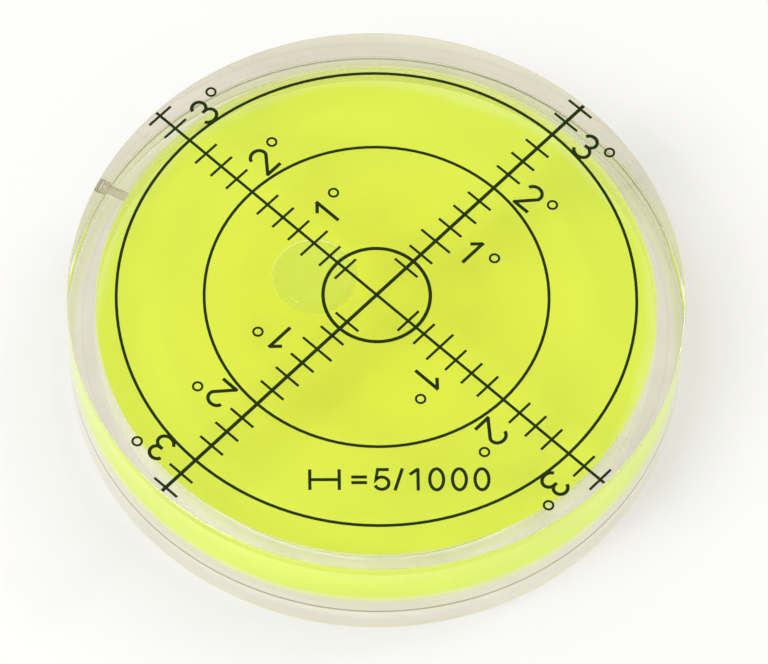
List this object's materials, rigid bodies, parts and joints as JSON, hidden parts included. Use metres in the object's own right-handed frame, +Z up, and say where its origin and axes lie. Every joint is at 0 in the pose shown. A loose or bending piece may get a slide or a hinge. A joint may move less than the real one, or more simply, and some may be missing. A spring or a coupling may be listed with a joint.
{
  "type": "bullseye level",
  "caption": "Round bullseye level: clear acrylic drum with yellow-green fluid, an air bubble under a domed ceiling, and a cross, circles and ticks printed on the window.",
  "frame": {"origin": "centre of the resting face, under the drum's axis", "axes": "+Z up along the drum's axis; the printed cross lies on the diagonals between X and Y; the figures' scale note is on the -Y side"},
  "size_m": [0.06, 0.06, 0.0121],
  "materials": {
    "clear_acrylic": "polished, transparent",
    "plug": "matt",
    "fluid": "fluorescent liquid",
    "air": "transparent",
    "ink": "screen printed"
  },
  "bodies": {
    "case": {"top_case": "clear_acrylic", "base_plate": "clear_acrylic", "fill_plug": "plug", "printed_scale": "ink"},
    "filling": {"fluid": "fluid"},
    "bubble": {"air_bubble": "air"}
  },
  "joints": [
    {"name": "fluid_swirl", "type": "hinge", "parent": "case", "child": "filling", "pos_m": [0, 0, 0.007], "axis": [0, 0, 1], "continuous": true},
    {"name": "bubble_travel", "type": "hinge", "parent": "filling", "child": "bubble", "pos_m": [0, 0, -0.4713], "axis": [-0.5, -0.866, 0], "range_deg": [-3.52, 1.88], "stiffness_Nm_per_rad": 0.001, "springref_deg": -0.82, "deforming": ["fluid"]}
  ]
}
